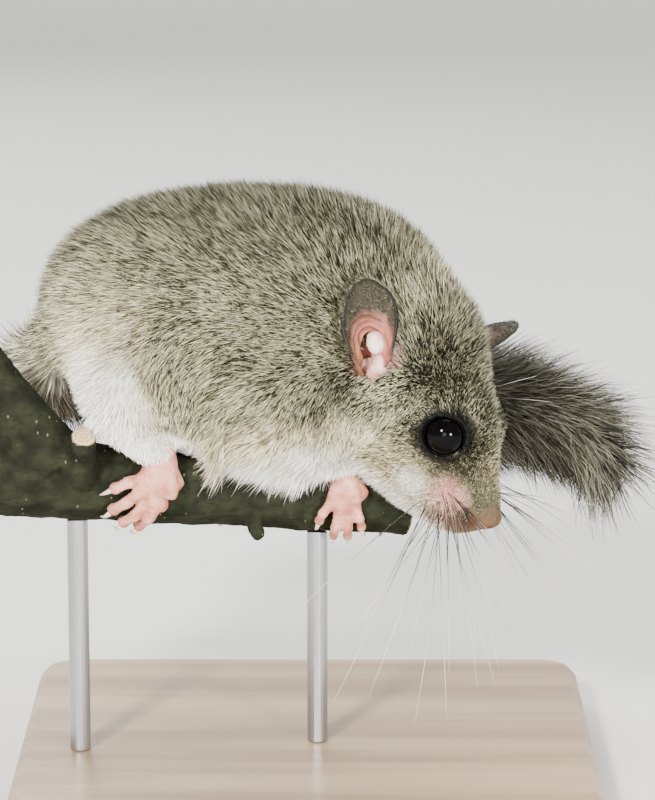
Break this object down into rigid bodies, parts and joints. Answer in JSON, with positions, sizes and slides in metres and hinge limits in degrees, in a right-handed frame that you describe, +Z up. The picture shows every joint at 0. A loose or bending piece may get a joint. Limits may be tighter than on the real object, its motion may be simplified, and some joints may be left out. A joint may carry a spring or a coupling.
{
  "type": "animal model",
  "caption": "Life-size still model of an edible dormouse crouched on a cut length of branch, held up by a flat base and rods.",
  "frame": {"origin": "centre of the underside of the stand's base", "axes": "+Z up; +X along the branch towards the animal's head; +Y from the animal's right side to its left"},
  "size_m": [0.1441, 0.1, 0.1168],
  "materials": {
    "back_fur": "short dense grey-brown fur with cream tips",
    "pale_fur": "short cream-white fur",
    "tail_fur": "long bushy grey-brown hair",
    "ear_skin": "thin bare skin, grey at the rim and pink inside",
    "pink_skin": "bare pink skin with pale claws",
    "eye": "wet and glossy black",
    "bark": "dark grey-green bark with pale specks",
    "stand_wood": "satin lacquer",
    "stand_metal": "dull dark steel"
  },
  "bodies": {
    "root": {"torso": "back_fur", "neck": "back_fur", "head": "back_fur", "ear_right": "ear_skin", "ear_left": "ear_skin", "eye_right": "eye", "eye_left": "eye", "hind_leg_right": "pale_fur", "hind_leg_left": "pale_fur", "hind_foot_right": "pink_skin", "hind_foot_left": "pink_skin", "fore_leg_right": "pale_fur", "fore_leg_left": "pale_fur", "fore_foot_right": "pink_skin", "fore_foot_left": "pink_skin", "perch_branch": "bark", "stand_base": "stand_wood", "stand_rod_back": "stand_metal", "stand_rod_front": "stand_metal", "tail_root": "tail_fur", "tail_bend": "tail_fur", "tail_middle": "tail_fur", "tail_end": "tail_fur"}
  },
  "joints": []
}
